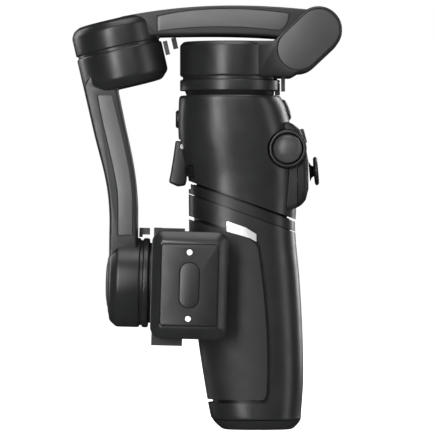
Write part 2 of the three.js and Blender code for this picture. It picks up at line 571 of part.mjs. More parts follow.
// ---- phone mount on the tilt motor ----
function buildMount(mount) {
  const ring = turned([
    [0, 0.5], [TILT_RADIUS - 0.5, 0.5], [TILT_RADIUS, 1], [TILT_RADIUS, 2.8], [TILT_RADIUS - 0.5, 3.3],
    [17.2, 3.3], [17.2, 4.7], [0, 4.7],
  ]).rotateY(RIGHT_ANGLE);
  piece(mount, 'tilt_rotor_ring', ring, satinBlack);
  const bell = join(tube('x', 15.5, 12.3, -10.6, 0.1), bar('x', 13, -0.4, 0.1, FINE), bar('x', 2.9, -10.6, 0));
  piece(mount, 'tilt_rotor', bell, steel);

  const plate = slab(roundedRect(50, 50, 6), 0, 3).rotateZ(RIGHT_ANGLE);
  const root = common(plate.translate(8.1, 0, -1.2), block([0, 20], [-20.2, 14], [-60, 60]));
  const leg = block([5.2, 18.3], [-23.1, -20], [-26.2, 23.8]);
  piece(mount, 'mount_bracket', join(root, leg), satinBlack);

  const body = new THREE.ExtrudeGeometry(roundedRect(MOUNT_WIDTH, MOUNT_HEIGHT, 5), {
    depth: MOUNT_BACK - MOUNT_FRONT - 5,
    bevelThickness: 2.5,
    bevelSize: 4,
    bevelOffset: -4,
    bevelSegments: 1,
    curveSegments: 3,
  }).rotateX(RIGHT_ANGLE).translate(MOUNT_CENTRE.x, MOUNT_BACK - 2.5, MOUNT_CENTRE.y);
  const centred = (width, height, radius, y0, y1) => {
    const plate = slab(roundedRect(width, height, radius), y0, y1, 0, 3);
    return plate.translate(MOUNT_CENTRE.x, 0, MOUNT_CENTRE.y);
  };
  const facePocket = centred(24.6, 35, 1.8, MOUNT_FRONT - 1, MOUNT_FRONT + 0.9);
  const room = centred(22, 33, 2, MOUNT_FRONT + 3, MOUNT_BACK + 5);
  const backPocket = centred(24.4, 35.4, 2, MOUNT_BACK - 1.6, MOUNT_BACK + 5);
  piece(mount, 'mount_housing', cut(body, facePocket, room, backPocket), satinBlack);
  piece(mount, 'mount_back_cover', centred(23.7, 34.7, 1.7, MOUNT_BACK - 1.3, MOUNT_BACK - 0.1), deepBlack);

  const contactPlaces = { mount_contact_upper: 14.05, mount_contact_lower: -14.05 };
  const contactHoles = Object.values(contactPlaces).map((height) => (
    bar('y', 1.6, -60, 0).translate(MOUNT_CENTRE.x - 0.2, 0, height - 0.2)));
  const keyHole = centred(8.8, 19.8, 4.3, MOUNT_FRONT - 5, MOUNT_FRONT + 0.2);
  const face = centred(23.9, 34.3, 1.5, MOUNT_FRONT - 0.9, MOUNT_FRONT + 0.5);
  piece(mount, 'mount_face_plate', cut(face, keyHole, ...contactHoles), deepBlack);
  const key = centred(8.1, 19.1, 4, MOUNT_FRONT - 1.1, MOUNT_FRONT - 0.2);
  piece(mount, 'mount_key', key, satinBlack);
  for (const [name, height] of Object.entries(contactPlaces)) {
    const contact = bar('y', 1.25, MOUNT_FRONT - 1.2, MOUNT_FRONT + 0.5);
    piece(mount, name, contact.translate(MOUNT_CENTRE.x - 0.2, 0, height - 0.2), contactWhite);
  }
  for (const [name, height] of [['mount_magnet_upper', 9.4], ['mount_magnet_lower', -9.6]]) {
    const magnet = bar('y', 5.2, MOUNT_FRONT + 3.3, MOUNT_FRONT + 6.3);
    piece(mount, name, magnet.translate(MOUNT_CENTRE.x, 0, height), steel);
  }
  piece(mount, 'mount_board', centred(20.6, 31, 1, MOUNT_FRONT + 6.7, MOUNT_FRONT + 7.9), boardGreen);
}

// ---- the whole gimbal ----
const gimbal = new THREE.Group();
const handle = new THREE.Group();
const panHead = new THREE.Group();
const foldArm = new THREE.Group();
const rollUpper = leaningGroup(ROLL_SEAM, ROLL_LEAN);
const rollArm = new THREE.Group();
const rollLower = leaningGroup(ROLL_SEAM, ROLL_LEAN);
const tiltHousing = leaningGroup(TILT_CENTRE, TILT_LEAN);
const phoneMount = leaningGroup(TILT_CENTRE, TILT_LEAN);

buildGrip(handle);
buildHousing(handle);
buildPanMotor(handle, panHead);
buildPanArm(panHead);
buildFoldArm(foldArm, rollUpper);
buildRollArm(rollArm, rollLower, tiltHousing);
buildMount(phoneMount);

foldArm.add(rollUpper);
rollArm.add(rollLower, tiltHousing);
gimbal.add(handle, panHead, foldArm, rollArm, phoneMount);

export default gimbal;
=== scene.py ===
"""The looks of a folded phone gimbal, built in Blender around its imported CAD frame.

Lengths of the object are millimetres until mesh_object() turns them into metres.
The camera and the lamps are placed in metres.
"""
import json
import math

import bmesh
import bpy
from mathutils import Matrix, Vector


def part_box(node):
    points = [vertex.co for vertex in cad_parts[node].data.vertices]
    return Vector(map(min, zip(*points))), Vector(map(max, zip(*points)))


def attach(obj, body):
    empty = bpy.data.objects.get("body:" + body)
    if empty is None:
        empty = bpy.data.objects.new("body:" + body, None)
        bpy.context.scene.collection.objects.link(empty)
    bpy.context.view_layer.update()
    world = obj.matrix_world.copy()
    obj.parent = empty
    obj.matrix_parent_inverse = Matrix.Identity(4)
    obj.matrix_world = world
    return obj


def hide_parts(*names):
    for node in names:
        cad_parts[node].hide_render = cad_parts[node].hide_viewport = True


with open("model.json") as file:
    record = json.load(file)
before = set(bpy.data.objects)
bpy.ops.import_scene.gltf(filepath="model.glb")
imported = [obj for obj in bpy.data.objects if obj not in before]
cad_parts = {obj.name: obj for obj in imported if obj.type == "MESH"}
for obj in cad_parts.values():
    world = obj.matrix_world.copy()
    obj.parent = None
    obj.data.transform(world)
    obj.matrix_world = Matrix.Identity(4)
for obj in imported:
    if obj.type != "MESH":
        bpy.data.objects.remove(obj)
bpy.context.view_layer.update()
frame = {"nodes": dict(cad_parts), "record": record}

MM = 0.001
GAP = 0.35  # clearance between neighbouring covers
RIGHT_ANGLE = math.pi / 2
ROUND = 96  # sides of a large round part
SMALL_ROUND = 48
FAR = 60  # half width of a cutting tool that spans the handle
OVERHEAD = 200  # a height above the whole object


def corners(node):
    """The box of a CAD node, in millimetres."""
    low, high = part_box(node)
    return low / MM, high / MM


# ---- driving dimensions, taken from the frame where it has them ----
BASE_TOP = corners("base_cap")[1].z
SKIN = 1.9  # thickness of the covers around the grip
GRIP_BOTTOM = corners("grip_sleeve")[0].z
SLEEVE_GROOVE = 1.4
SEAM_SLOPE = -0.361
SEAM_AT_AXIS = 99.8
COLLAR_HEIGHT = 5
LIP_HEIGHT = 3  # the grip's core reaches this far up into the upper housing
SOCKET_X = sum(corner.x for corner in corners("tripod_insert")) / 2
SOCKET_RADIUS = 5.4
HOUSING_TOP = corners("upper_housing")[1].z
HOUSING_WALL = 2.4

PAN_RADIUS = corners("pan_base_ring")[1].x
PAN_RING_TOP = corners("pan_base_ring")[1].z
PAN_HEAD_BOTTOM = 151.2
PAN_HEAD_TOP = 166.2
HINGE = (37.7, 170.8)
HINGE_LOWER = (29.1, 162.7)
KNUCKLE_RADIUS = 10.1
COVER_RADIUS = 8.9
TONGUE_RADIUS = 8.5
CLEVIS_OUTER = 17.5
CLEVIS_INNER = 13
ARM_HALF_WIDTH = 12

ROLL_RADIUS = 18.6
ROLL_UPPER = 12.6
ROLL_LOWER = 16.7
ROLL_BORE = 15.2
SEAM_HALF = 0.45  # half of the gap between a motor's two halves
TILT_RADIUS = 19.2
TILT_LENGTH = 13.8
MOUNT_FRONT = corners("mount_housing")[0].y
MOUNT_BACK = corners("mount_housing")[1].y
MOUNT_CENTRE = (20.8, -0.1)
CONTACT_X = 20.6
CONTACT_HEIGHTS = {"mount_contact_upper": 13.85, "mount_contact_lower": -14.25}
STRIP_RISE = 0.2  # how far an arm's strip stands proud
DIAL_NOTCHES = 24

OVAL_POWER = 0.84
# Level sections of the handle: height, left x, right x, half width in y.
GRIP_ROWS = [
    (0, -2.6, 26.4, 13.6), (0.9, -4.4, 27.9, 15.0), (3.9, -7.3, 30.3, 16.8), (7.2, -8.7, 30.6, 17.2),
    (20.9, -11.1, 31.5, 17.5), (38.1, -13.7, 31.3, 17.5), (63.9, -16.7, 29.9, 17.5),
    (85.4, -17.6, 28.0, 17.5), (112, -17.8, 27.4, 17.8),
]
HOUSING_ROWS = [
    (86, -17.6, 28, 17.6), (98, -17.8, 28.6, 18), (108, -18.8, 29, 18.8), (116, -20.6, 28.8, 19.8),
    (124, -22.0, 27.4, 20.8), (132, -22.3, 25.6, 21.3), (138, -22.1, 24, 21.5),
    (141.8, -21.9, 22.2, 21.5), (143, -21.2, 21.2, 21),
]


def at(x, z):
    """A frame placed at x and z, on the plane y = 0."""
    return Matrix.Translation((x, 0, z))


def leaning(x, y, z, degrees):
    """A frame placed at x, y, z and turned about y."""
    return Matrix.Translation((x, y, z)) @ Matrix.Rotation(math.radians(degrees), 4, "Y")


ROLL = leaning(-47.8, 0, 163.2, -13)
TILT = leaning(-38.1, 0, 62.8, 1.5)
POWER = leaning(23.4, 0, 136.9, -20)
SHUTTER = leaning(31.1, 0, 125.6, -15)
STICK = leaning(31.5, 0, 110.3, -4.7)
DIAL = (24.5, 120.1)
DIAL_FACE = -17
TRIGGER_PIVOT = (-20, 121.4)
HINGE_PLACE = at(*HINGE)
TRIGGER_PLACE = at(*TRIGGER_PIVOT)
Z_TO_X = Matrix.Rotation(RIGHT_ANGLE, 4, "Y")
Z_TO_MINUS_Y = Matrix.Rotation(RIGHT_ANGLE, 4, "X")


# ---- meshes ----
def mesh_object(name, points, faces, matrix=None):
    mesh = bpy.data.meshes.new(name)
    placed = [(matrix @ Vector(p) if matrix else Vector(p)) * MM for p in points]
    mesh.from_pydata(placed, [], faces)
    mesh.update()
    solid = bpy.data.objects.new(name, mesh)
    bpy.context.scene.collection.objects.link(solid)
    outward(solid)
    return solid


def outward(solid):
    """Merges doubled points and turns every face out."""
    work = bmesh.new()
    work.from_mesh(solid.data)
    bmesh.ops.remove_doubles(work, verts=work.verts, dist=1e-7)
    bmesh.ops.recalc_face_normals(work, faces=work.faces)
    work.to_mesh(solid.data)
    work.free()


def combine(solid, tool, operation):
    """Joins, cuts or intersects the solid with the tool, and removes the tool."""
    modifier = solid.modifiers.new("combine", "BOOLEAN")
    modifier.operation = operation
    modifier.solver = "MANIFOLD"
    modifier.object = tool
    graph = bpy.context.evaluated_depsgraph_get()
    result = bpy.data.meshes.new_from_object(solid.evaluated_get(graph))
    solid.modifiers.clear()
    solid.data = result
    bpy.data.objects.remove(tool)
    return solid


def cut(solid, *tools):
    for tool in tools:
        combine(solid, tool, "DIFFERENCE")
    return solid


def join(solid, *others):
    for other in others:
        combine(solid, other, "UNION")
    return solid


def common(solid, *others):
    for other in others:
        combine(solid, other, "INTERSECT")
    return solid


def between(before, start, end, after, share):
    """A point on the smooth curve from start to end (Catmull-Rom)."""
    square, cube = share ** 2, share ** 3
    return tuple(
        0.5 * (2 * b + (c - a) * share + (2 * a - 5 * b + 4 * c - d) * square
               + (3 * b - a - 3 * c + d) * cube)
        for a, b, c, d in zip(before, start, end, after))


def smooth_rows(rows, steps=5):
    padded = [rows[0], *rows, rows[-1]]
    made = []
    for i in range(1, len(padded) - 2):
        stretch = padded[i - 1:i + 3]
        made += [between(*stretch, step / steps) for step in range(steps)]
    return [*made, rows[-1]]


def oval_loft(rows, inset=0.0, sides=128):
    """A closed solid through rounded level sections."""
    levels = smooth_rows(rows)
    points = []
    for height, left, right, half in levels:
        for side in range(sides):
            angle = 2 * math.pi * side / sides
            across = math.copysign(abs(math.cos(angle)) ** OVAL_POWER, math.cos(angle))
            deep = math.copysign(abs(math.sin(angle)) ** OVAL_POWER, math.sin(angle))
            x = (left + right) / 2 + ((right - left) / 2 - inset) * across
            points.append((x, (half - inset) * deep, height))
    faces = ring_faces(len(levels), sides)
    faces.append(list(range(sides))[::-1])
    faces.append([(len(levels) - 1) * sides + side for side in range(sides)])
    return mesh_object("loft", points, faces)


def ring_faces(rings, sides):
    faces = []
    for ring in range(rings - 1):
        for side in range(sides):
            following = (side + 1) % sides
            low, high = ring * sides, (ring + 1) * sides
            faces.append((low + side, low + following, high + following, high + side))
    return faces


def rounded(profile, radius, steps=4):
    """A profile of [radius, height] points with its outer corners rounded."""
    made = [profile[0]]
    for before, corner, after in zip(profile, profile[1:], profile[2:]):
        here = Vector(corner)
        back, ahead = Vector(before) - here, Vector(after) - here
        reach = min(radius, back.length * 0.45, ahead.length * 0.45)
        start, end = here + back.normalized() * reach, here + ahead.normalized() * reach
        for step in range(steps + 1):
            share = step / steps
            made.append(start * (1 - share) ** 2 + here * 2 * share * (1 - share) + end * share ** 2)
    return [tuple(point) for point in [*made, profile[-1]]]


def turned(profile, matrix=None, sides=ROUND, soften=0.4):
    """A solid turned about z. The profile runs up from the axis and back to it."""
    ring = rounded(profile, soften)[1:-1] if soften else profile[1:-1]
    points = [(0, 0, profile[0][1]), (0, 0, profile[-1][1])]
    for radius, height in ring:
        for side in range(sides):
            angle = 2 * math.pi * side / sides
            points.append((radius * math.cos(angle), radius * math.sin(angle), height))
    faces = [tuple(index + 2 for index in face) for face in ring_faces(len(ring), sides)]
    last = 2 + (len(ring) - 1) * sides
    for side in range(sides):
        following = (side + 1) % sides
        faces.append((0, 2 + following, 2 + side))
        faces.append((1, last + side, last + following))
    return mesh_object("turned", points, faces, matrix)


def bar(axis, radius, start, end, matrix=None, sides=SMALL_ROUND):
    turn = {"x": Z_TO_X, "y": Matrix.Rotation(-RIGHT_ANGLE, 4, "X"), "z": Matrix()}[axis]
    place = matrix @ turn if matrix else turn
    return turned([(0, start), (radius, start), (radius, end), (0, end)], place, sides, soften=0)


def block(x, y, z, matrix=None, bevel=0.0):
    points = [(x[0], z[0]), (x[1], z[0]), (x[1], z[1]), (x[0], z[1])]
    return slab(points, y[0], y[1], bevel, matrix)


def slab(points, y0, y1, bevel=0.0, matrix=None, steps=3):
    """An outline in x and z extruded across y, with all its edges rounded by the bevel."""
    count = len(points)
    places = [(x, y, z) for y in (y0, y1) for x, z in points]
    faces = [list(range(count)), [count + i for i in range(count)][::-1]]
    for i in range(count):
        following = (i + 1) % count
        faces.append((i, following, count + following, count + i))
    solid = mesh_object("slab", places, faces, matrix)
    if bevel:
        round_edges(solid, bevel, steps)
    return solid


def round_edges(solid, bevel, steps, sharp=math.radians(32)):
    work = bmesh.new()
    work.from_mesh(solid.data)
    edges = [e for e in work.edges if len(e.link_faces) == 2 and e.calc_face_angle() > sharp]
    bmesh.ops.bevel(
        work, geom=edges, offset=bevel * MM, segments=steps, profile=0.5, affect="EDGES",
        clamp_overlap=True)
    work.to_mesh(solid.data)
    work.free()


def arc(centre, radius, start, end, steps=16):
    angles = [start + (end - start) * step / steps for step in range(steps + 1)]
    return [(centre[0] + radius * math.cos(a), centre[1] + radius * math.sin(a)) for a in angles]


def bezier(*controls, steps=16):
    """Points of a quadratic or cubic curve, without its first point."""
    made = []
    for step in range(1, steps + 1):
        row = [Vector(point) for point in controls]
        while len(row) > 1:
            row = [a.lerp(b, step / steps) for a, b in zip(row, row[1:])]
        made.append(tuple(row[0]))
    return made


def rounded_rect(width, height, radius, centre=(0, 0)):
    w, h = width / 2 - radius, height / 2 - radius
    points = []
    for index, (x, z) in enumerate([(w, -h), (w, h), (-w, h), (-w, -h)]):
        start = (index - 1) * RIGHT_ANGLE
        points += arc((centre[0] + x, centre[1] + z), radius, start, start + RIGHT_ANGLE, 8)
    return points


# ---- materials ----
def ramp_between(nodes, links, source, low, high, start=0.35, end=0.65):
    ramp = nodes.new("ShaderNodeValToRGB")
    ramp.color_ramp.elements[0].position = start
    ramp.color_ramp.elements[0].color = low
    ramp.color_ramp.elements[1].position = end
    ramp.color_ramp.elements[1].color = high
    links.new(source, ramp.inputs["Fac"])
    return ramp.outputs["Color"]


def noise(nodes, links, scale, detail=3.0):
    place = nodes.new("ShaderNodeTexCoord")
    made = nodes.new("ShaderNodeTexNoise")
    made.inputs["Scale"].default_value = scale
    made.inputs["Detail"].default_value = detail
    links.new(place.outputs["Object"], made.inputs["Vector"])
    return made.outputs["Fac"]


def grey(value, warm=0.0):
    return (value * (1 + warm), value, value * (1 - warm), 1)


def moulded(name, colour, roughness, grain=2600, depth=0.02, metallic=0.0, spread=0.12, coat=0.0):
    """A moulded or painted surface: fine grain, slow colour and gloss variation."""
    material = bpy.data.materials.new(name)
    material.use_nodes = True
    nodes, links = material.node_tree.nodes, material.node_tree.links
    shader = nodes["Principled BSDF"]
    shader.inputs["Metallic"].default_value = metallic
    shader.inputs["Coat Weight"].default_value = coat
    shader.inputs["Coat Roughness"].default_value = 0.25
    dark = tuple(channel * (1 - spread) for channel in colour[:3]) + (1,)
    light = tuple(channel * (1 + spread) for channel in colour[:3]) + (1,)
    slow = noise(nodes, links, 45)
    links.new(ramp_between(nodes, links, slow, dark, light), shader.inputs["Base Color"])
    cloudy = noise(nodes, links, 160, 5)
    gloss = ramp_between(
        nodes, links, cloudy, grey(roughness * 0.9), grey(min(1, roughness * 1.12)), 0.3, 0.7)
    links.new(gloss, shader.inputs["Roughness"])
    fine = noise(nodes, links, grain, 2)
    bump = nodes.new("ShaderNodeBump")
    bump.inputs["Strength"].default_value = depth * 5
    bump.inputs["Distance"].default_value = 0.00006
    links.new(fine, bump.inputs["Height"])
    links.new(bump.outputs["Normal"], shader.inputs["Normal"])
    return material


def dotted_rubber(name, colour):
    """Soft rubber with a fine moulded stipple."""
    material = moulded(name, colour, 0.55, depth=0.03)
    nodes, links = material.node_tree.nodes, material.node_tree.links
    place = nodes.new("ShaderNodeTexCoord")
    cells = nodes.new("ShaderNodeTexVoronoi")
    cells.inputs["Scale"].default_value = 1500
    links.new(place.outputs["Object"], cells.inputs["Vector"])
    bump = nodes.new("ShaderNodeBump")
    bump.inputs["Strength"].default_value = 0.25
    bump.inputs["Distance"].default_value = 0.00008
    links.new(cells.outputs["Distance"], bump.inputs["Height"])
    links.new(bump.outputs["Normal"], nodes["Principled BSDF"].inputs["Normal"])
    return material


def brushed(name, colour, roughness, direction=(1, 1, 14)):
    """Metal with fine turning or brushing marks."""
    material = moulded(name, colour, roughness, metallic=1.0, spread=0.06)
    nodes, links = material.node_tree.nodes, material.node_tree.links
    place = nodes.new("ShaderNodeTexCoord")
    stretch = nodes.new("ShaderNodeMapping")
    stretch.inputs["Scale"].default_value = direction
    marks = nodes.new("ShaderNodeTexNoise")
    marks.inputs["Scale"].default_value = 900
    bump = nodes.new("ShaderNodeBump")
    bump.inputs["Strength"].default_value = 0.12
    bump.inputs["Distance"].default_value = 0.00004
    links.new(place.outputs["Object"], stretch.inputs["Vector"])
    links.new(stretch.outputs["Vector"], marks.inputs["Vector"])
    links.new(marks.outputs["Fac"], bump.inputs["Height"])
    links.new(bump.outputs["Normal"], nodes["Principled BSDF"].inputs["Normal"])
    return material


FINISHES = {
    "satin_black": moulded("satin_black", grey(0.0115, -0.03), 0.36),
    "deep_black": moulded("deep_black", grey(0.007), 0.4),
    "rubber": dotted_rubber("rubber", grey(0.011)),
    "arm_grey": moulded("arm_grey", grey(0.09), 0.42, metallic=0.25, spread=0.05),
    "cover_grey": moulded("cover_grey", grey(0.038), 0.42, metallic=0.15, spread=0.08),
    "silver_trim": brushed("silver_trim", grey(0.9), 0.4, (14, 1, 1)),
    "steel": brushed("steel", grey(0.5), 0.3),
    "copper": brushed("copper", (0.6, 0.25, 0.12, 1), 0.4, (1, 1, 30)),
    "board_green": moulded("board_green", (0.015, 0.08, 0.035, 1), 0.45, 1200, 0.05),
    "contact_white": moulded("contact_white", grey(0.9), 0.25, spread=0.02),
    "brass": brushed("brass", (0.6, 0.43, 0.16, 1), 0.3),
    "cell_wrap": moulded("cell_wrap", (0.03, 0.09, 0.25, 1), 0.35),
}
NODE_SLOT = {part["node"]: part["material_slot"] for part in frame["record"]["subparts"]}
BODIES = frame["record"]["behaviour"]["bodies"]
NODE_BODY = {node: body for body, nodes in BODIES.items() for node in nodes}


def shade(solid, slot, angle=38):
    solid.data.materials.clear()
    solid.data.materials.append(FINISHES[slot])
    solid.data.shade_smooth()
    solid.data.set_sharp_from_angle(angle=math.radians(angle))


def show(solid, node, slot=None):
    """Puts a finished solid in place of the CAD node, on its body and in its finish."""
    finish = slot or NODE_SLOT[node]
    solid.name = node + "_shown"
    solid.data.name = solid.name
    tidy(solid)
    shade(solid, finish)
    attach(solid, NODE_BODY[node])
    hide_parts(node)
    return solid


def tidy(solid):
    """Clears slivers left by the cuts."""
    work = bmesh.new()
    work.from_mesh(solid.data)
    bmesh.ops.dissolve_degenerate(work, edges=work.edges, dist=2e-6)
    bmesh.ops.recalc_face_normals(work, faces=work.faces)
    work.to_mesh(solid.data)
    work.free()


# ---- camera, floor and light ----
def make_stage():
    view = bpy.data.cameras.new("view")
    view.sensor_width = 36
    view.lens = 385.9
    view.clip_end = 20
    camera = bpy.data.objects.new("camera", view)
    camera.location = (-0.0056, -2.0, 0.091)
    camera.rotation_euler = (RIGHT_ANGLE, 0, 0)
    bpy.context.scene.collection.objects.link(camera)
    bpy.context.scene.camera = camera

    pale = bpy.data.materials.new("pale_stage")
    pale.use_nodes = True
    surface = pale.node_tree.nodes["Principled BSDF"].inputs
    surface["Base Color"].default_value = grey(0.92)
    surface["Roughness"].default_value = 0.9
    surface["Emission Color"].default_value = grey(1)
    surface["Emission Strength"].default_value = 1.0
    reach = 8000
    points = [(-reach, -reach, 0), (reach, -reach, 0), (reach, reach, 0), (-reach, reach, 0)]
    floor = mesh_object("stage_floor", points, [(0, 1, 2, 3)])
    floor.data.materials.append(pale)
    floor.visible_glossy = False  # the black plastic mirrors the lights only, as in a dark studio

    world = bpy.data.worlds.new("studio")
    world.use_nodes = True
    world.node_tree.nodes["Background"].inputs["Color"].default_value = grey(1)
    world.node_tree.nodes["Background"].inputs["Strength"].default_value = 1.0
    # The camera sees a white world, which lights nothing.
    world.cycles_visibility.glossy = False
    world.cycles_visibility.diffuse = False
    bpy.context.scene.world = world
    bpy.context.scene.view_settings.view_transform = "Standard"

    area_light("key_strip", (-0.42, -1.2, 0.3), 0.25, 1.2, 15)
    area_light("right_strip", (1.25, -0.5, 0.3), 0.3, 1.2, 4)
    area_light("front_fill", (0.5, -1.9, 0.9), 1.2, 1.2, 6)
    area_light("top_soft", (0.0, -0.2, 1.3), 0.9, 0.9, 9)
    area_light("back_left", (-1.1, 0.8, 0.5), 0.5, 1.2, 7)
    area_light("back_right", (1.0, 1.1, 0.6), 0.5, 1.2, 12)


def area_light(name, place, width, height, power, aim=(0, 0, 0.09)):
    light = bpy.data.lights.new(name, "AREA")
    light.shape = "RECTANGLE"
    light.size = width
    light.size_y = height
    light.energy = power
    lamp = bpy.data.objects.new(name, light)
    lamp.location = place
    lamp.rotation_euler = (Vector(aim) - Vector(place)).to_track_quat("-Z", "Y").to_euler()
    bpy.context.scene.collection.objects.link(lamp)


# ---- grip ----
def seam_height(x, drop):
    return SEAM_AT_AXIS + SEAM_SLOPE * x - drop


def below_seam(drop):
    left, right = seam_height(-FAR, drop), seam_height(FAR, drop)
    return slab([(-FAR, -5), (FAR, -5), (FAR, right), (-FAR, left)], -FAR, FAR)


def above_seam(drop):
    left, right = seam_height(-FAR, drop), seam_height(FAR, drop)
    return slab([(-FAR, left), (FAR, right), (FAR, OVERHEAD), (-FAR, OVERHEAD)], -FAR, FAR)


def layer(low, high):
    """A block across the whole handle between two heights."""
    return block((-FAR, FAR), (-FAR, FAR), (low, high))


def tripod_bore():
    return bar("z", SOCKET_RADIUS, -5, 30, at(SOCKET_X, 0))


def sleeve_outline(grow):
    bottom = GRIP_BOTTOM - grow
    top_right = (12 + grow, 76.4)
    points = [(-FAR, bottom), (13.4 + grow, bottom)]
    points += bezier(points[-1], (15.3 + grow, bottom), (15.5 + grow, bottom + 3), steps=8)
    points += bezier(points[-1], (17 + grow, 42), top_right, steps=20)
    points += bezier(top_right, (11.6 + grow, 79.6 + grow), (8.2, 81.6 + grow), steps=8)
    points.append((-FAR, 81.6 + grow + (8.2 + FAR) * 0.328))
    return points


def inlay_outline(grow):
    left, right = -1.4 - grow, 11.2 + grow
    return [
        (left, 84.9 - grow), (8.4, 82 - grow), (right, 80.4 - grow),
        (right, 83.7 + grow), (6.7, 86.5 + grow), (left, 89.2 + grow),
    ]


def trigger_slot():
    return block((-40, -15.6), (-6.5, 6.5), (103, 124.4))


def skin():
    """The outer layer of the grip, which the covers are cut from."""
    outer = common(oval_loft(GRIP_ROWS), layer(BASE_TOP + GAP, OVERHEAD))
    return cut(outer, above_seam(2 * GAP), oval_loft(GRIP_ROWS, SKIN))


def make_grip():
    base = common(oval_loft(GRIP_ROWS), layer(-1, BASE_TOP))
    show(cut(base, tripod_bore()), "base_cap")
    wall = SKIN + GAP
    core = common(oval_loft(GRIP_ROWS, wall), layer(BASE_TOP - 0.1, OVERHEAD))
    cut(core, above_seam(GAP))
    lip = cut(common(oval_loft(GRIP_ROWS, HOUSING_WALL + 0.9), below_seam(-LIP_HEIGHT)), below_seam(12))
    join(core, lip)
    cut(
        core, common(oval_loft(GRIP_ROWS, wall + 2.3), layer(9.5, OVERHEAD)),
        tripod_bore(), trigger_slot())
    show(core, "grip_core")
    sleeve = common(skin(), slab(sleeve_outline(0), -FAR, FAR))
    show(cut(sleeve, slab(inlay_outline(GAP), -FAR, FAR)), "grip_sleeve")
    spine = cut(
        skin(), above_seam(COLLAR_HEIGHT + GAP), slab(sleeve_outline(SLEEVE_GROOVE), -FAR, FAR),
        slab(inlay_outline(GAP), -FAR, FAR))
    show(spine, "spine_cover")
    show(cut(skin(), below_seam(COLLAR_HEIGHT), trigger_slot()), "collar_band")
    show(common(skin(), slab(inlay_outline(0), -FAR, -3)), "trim_inlay_front")
    show(common(skin(), slab(inlay_outline(0), 3, FAR)), "trim_inlay_rear")


# ---- upper housing and its controls ----
def dial_bore():
    return bar("y", 8.2 + GAP, -40, -8.2, at(*DIAL), ROUND)


def socket_frame():
    return Matrix.Translation((-15.9, -9.2, 110.5)) @ Matrix.Rotation(math.radians(-145), 4, "Z")


def make_housing():
    room = common(oval_loft(HOUSING_ROWS, HOUSING_WALL), layer(0, 140))
    well = common(oval_loft(HOUSING_ROWS, 0.5), block((-30, -13.5), (-9.5, 9.5), (101.5, 126)))
    shell = join(cut(oval_loft(HOUSING_ROWS), room), well)
    cut(
        shell, below_seam(-GAP), dial_bore(), trigger_slot(), bar("y", 1.3, -8.6, 8.6, TRIGGER_PLACE),
        bar("x", 4.2, -40, -10, at(0, 133)), bar("x", 5.2, -12, 12, POWER),
        bar("z", 6, 120, 160), block((-8, 8), (-2.7, 2.7), (-2.6, 2.6), socket_frame()))
    show(shell, "upper_housing")


def console_solid():
    side = [
        (16, 95), (25, 93.6), (30.4, 95.6), (32.4, 98.4), (33.6, 103.2), (33.5, 115.4),
        (31.7, 124), (30, 128.4), (25.6, 131.8), (16, 131.8),
    ]
    solid = slab(side, -12.5, 12.5, 2.2, steps=4)
    return cut(solid, oval_loft(HOUSING_ROWS, -GAP), dial_bore())


def make_console():
    crown_bottom = corners("console_crown")[0].z
    stick_hole = (5.6, -30, 10, at(31.5, 110.3))
    crown = common(console_solid(), block((10, 50), (-40, 40), (crown_bottom, 150)))
    show(cut(crown, block((-6, 6), (-5.3, 5.3), (-3.6, 3.6), SHUTTER)), "console_crown")
    lower = {"x": (10, 50), "y": (-40, 40), "z": (80, crown_bottom - GAP)}
    behind = slab([(0, 80), (29.4 - GAP, 80), (28.4 - GAP, 140), (0, 140)], -40, 40)
    body = common(console_solid(), block(**lower), behind)
    show(cut(body, bar("x", *stick_hole)), "console_body")
    ahead = slab([(29.4, 80), (50, 80), (50, 140), (28.4, 140)], -40, 40)
    face = common(console_solid(), block(**lower), ahead)
    show(cut(face, bar("x", *stick_hole)), "console_face")

    stick = turned([
        (0, 2.6), (4.4, 2.6), (3.0, 3.3), (2.4, 3.9), (2.2, 4.4), (5.6, 4.6), (6.15, 5.2),
        (6.15, 5.7), (5.4, 6.4), (3, 6.1), (0, 6),
    ], STICK @ Z_TO_X, ROUND, 0.3)
    show(stick, "joystick_cap")
    seat_place = Matrix.Translation((DIAL[0], DIAL_FACE + 8.4, DIAL[1])) @ Z_TO_MINUS_Y
    seat = turned([
        (0, 0), (8.2, 0), (8.2, 8.2), (7.6, 8.7), (6.8, 8.7), (6.5, 8), (6.5, 6.9), (0, 6.9),
    ], seat_place, ROUND, 0.3)
    show(seat, "dial_seat")
    dial_place = Matrix.Translation((DIAL[0], DIAL_FACE + 1.2, DIAL[1])) @ Z_TO_MINUS_Y
    dome = [(6 * math.cos(a), 2.8 + 2.6 * math.sin(a)) for a in (RIGHT_ANGLE * s / 10 for s in range(10))]
    dial = turned([(0, 0), (6, 0), *dome, (0, 5.4)], dial_place, ROUND, 0.15)
    for notch in range(DIAL_NOTCHES):
        angle = 2 * math.pi * notch / DIAL_NOTCHES
        groove = Matrix.Translation((6.15 * math.cos(angle), 6.15 * math.sin(angle), 0))
        cut(dial, bar("z", 0.32, -1, 2.6, dial_place @ groove, 12))
    show(dial, "side_dial")


